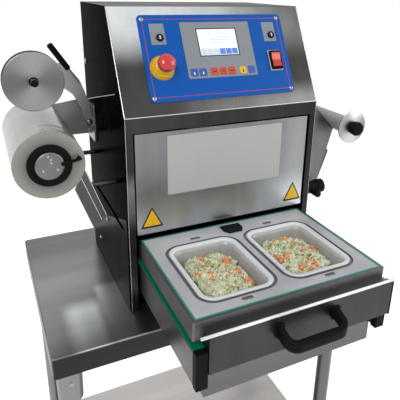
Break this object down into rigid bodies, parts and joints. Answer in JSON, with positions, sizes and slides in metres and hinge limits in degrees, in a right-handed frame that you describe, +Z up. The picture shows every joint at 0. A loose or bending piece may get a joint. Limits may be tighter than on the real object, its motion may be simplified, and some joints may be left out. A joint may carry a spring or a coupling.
{
  "type": "tray sealer on a worktable",
  "caption": "Tabletop tray sealer with a pull-out drawer holding trays, film reels on both sides, a sloping control face, on a stainless worktable.",
  "frame": {"origin": "middle of the whole object's plan, on the floor", "axes": "+Z up; the drawer pulls out towards -Y; +X to the right seen from the front"},
  "size_m": [0.905, 0.8647, 1.573],
  "materials": {
    "table_steel": "brushed stainless sheet",
    "socket_steel": "satin stainless tube",
    "foot_plastic": "grey moulded",
    "shelf_steel": "galvanised sheet",
    "cabinet_steel": "polished stainless sheet",
    "panel_steel": "vertically brushed stainless",
    "tool_aluminium": "milled",
    "shaft_steel": "satin stainless",
    "black_plastic": "black moulded",
    "blue_face": "printed blue",
    "grey_face": "printed grey",
    "display": "lit display",
    "keys": "printed keys",
    "yellow_plastic": "moulded",
    "red_plastic": "moulded",
    "seal_rubber": "silicone",
    "green_glide": "slippery plastic",
    "insert_plate": "coated plate",
    "tray_plastic": "thin clear plastic",
    "food": "loose mixed rice salad",
    "film": "wound clear film",
    "hub_aluminium": "turned",
    "disc_aluminium": "turned"
  },
  "bodies": {
    "root": {"table_top": "table_steel", "table_channels": "table_steel", "leg_sockets": "socket_steel", "legs": "socket_steel", "feet": "foot_plastic", "undershelf": "shelf_steel", "left_side": "cabinet_steel", "right_side": "cabinet_steel", "hood": "cabinet_steel", "back_panel": "cabinet_steel", "base_plate": "cabinet_steel", "front_panel": "panel_steel", "panel_brackets": "panel_steel", "heating_plate": "tool_aluminium", "press_columns": "shaft_steel", "press_frame": "shaft_steel", "drawer_guides": "shaft_steel", "lower_covers": "cabinet_steel", "reel_arms": "shaft_steel", "disc_arm": "shaft_steel", "arm_sleeve": "black_plastic", "reel_shafts": "shaft_steel", "film_chutes": "shaft_steel", "clamp_knob": "black_plastic", "cable_gland": "black_plastic", "control_plate": "blue_face", "display_bezel": "grey_face", "display_glass": "display", "keypad": "keys", "indicator_lamps": "black_plastic", "stop_base": "yellow_plastic", "switch_bezel": "black_plastic"},
    "drawer": {"drawer_tub": "shaft_steel", "tray_carrier": "tool_aluminium", "carrier_seal": "seal_rubber", "mould_insert": "insert_plate", "sensor_plate": "black_plastic", "tray_left": "tray_plastic", "tray_right": "tray_plastic", "food_fill": "food", "drawer_rails": "shaft_steel", "glide_strips": "green_glide", "rail_caps": "black_plastic", "apron": "shaft_steel", "apron_end": "black_plastic", "apron_handle": "black_plastic"},
    "film_reel": {"film_roll": "film", "film_core": "black_plastic", "reel_hub": "hub_aluminium", "reel_wing": "black_plastic"},
    "upper_reel": {"upper_disc": "disc_aluminium"},
    "scrap_reel": {"scrap_spool": "hub_aluminium", "spool_flange": "disc_aluminium", "spool_knob": "black_plastic"},
    "stop_head": {"stop_button": "red_plastic"},
    "rocker": {"power_rocker": "red_plastic"}
  },
  "joints": [
    {"name": "drawer_slide", "type": "slide", "parent": "root", "child": "drawer", "axis": [0, 1, 0], "range_m": [0, 0.312]},
    {"name": "film_reel_spin", "type": "hinge", "parent": "root", "child": "film_reel", "pos_m": [-0.3775, 0.13503, 1.256], "axis": [0, 1, 0], "continuous": true},
    {"name": "upper_reel_spin", "type": "hinge", "parent": "root", "child": "upper_reel", "pos_m": [-0.3875, 0.15502, 1.424], "axis": [0, 1, 0], "continuous": true},
    {"name": "scrap_reel_spin", "type": "hinge", "parent": "root", "child": "scrap_reel", "pos_m": [0.4075, 0.14502, 1.264], "axis": [0, 1, 0], "continuous": true},
    {"name": "stop_press", "type": "slide", "parent": "root", "child": "stop_head", "axis": [0, 0.8807, -0.4736], "range_m": [0, 0.005], "stiffness_N_per_m": 1000},
    {"name": "rocker_tilt", "type": "hinge", "parent": "root", "child": "rocker", "pos_m": [0.1785, 0.00235, 1.44972], "axis": [1, 0, 0], "range_deg": [-8, 8]}
  ]
}
